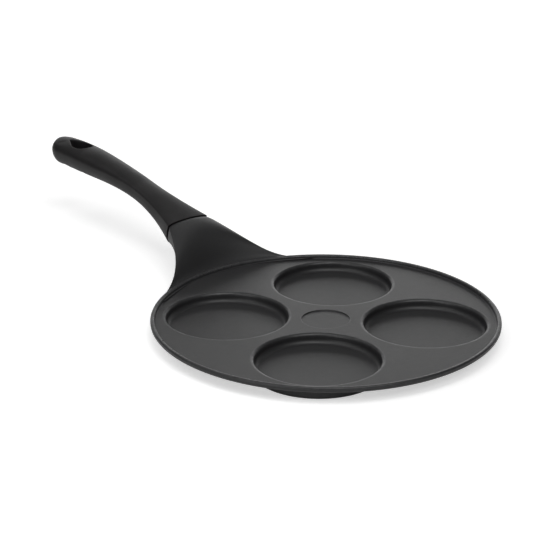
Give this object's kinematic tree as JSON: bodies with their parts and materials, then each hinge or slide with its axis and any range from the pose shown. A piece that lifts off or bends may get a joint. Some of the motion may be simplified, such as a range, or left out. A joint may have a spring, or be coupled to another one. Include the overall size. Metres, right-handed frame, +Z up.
{
  "type": "egg pan",
  "caption": "Round flat pan with shallow round cups for frying eggs in separate portions, a low rim, a flared neck and a long fixed grip with a hanging slot.",
  "frame": {"origin": "on the plane that the pan stands on, under the middle of its overall length and width", "axes": "+X from the pan along the handle towards the hanging slot, +Z up, +Y to the right of a person holding the handle"},
  "size_m": [0.4824, 0.26, 0.0692],
  "materials": {
    "coating": "dark grey non-stick coating, satin, on cast aluminium",
    "phenolic": "black moulded phenolic, fine matt",
    "disc_steel": "turned stainless steel",
    "fixing_steel": "zinc-plated steel",
    "brass": "plain turned brass"
  },
  "bodies": {
    "root": {"pan_body": "coating", "handle_grip": "phenolic", "handle_screw": "fixing_steel", "spring_washer": "fixing_steel", "flat_washer": "fixing_steel", "thread_insert": "brass", "base_disc_near_left": "disc_steel", "base_disc_near_right": "disc_steel", "base_disc_far_left": "disc_steel", "base_disc_far_right": "disc_steel"}
  },
  "joints": []
}
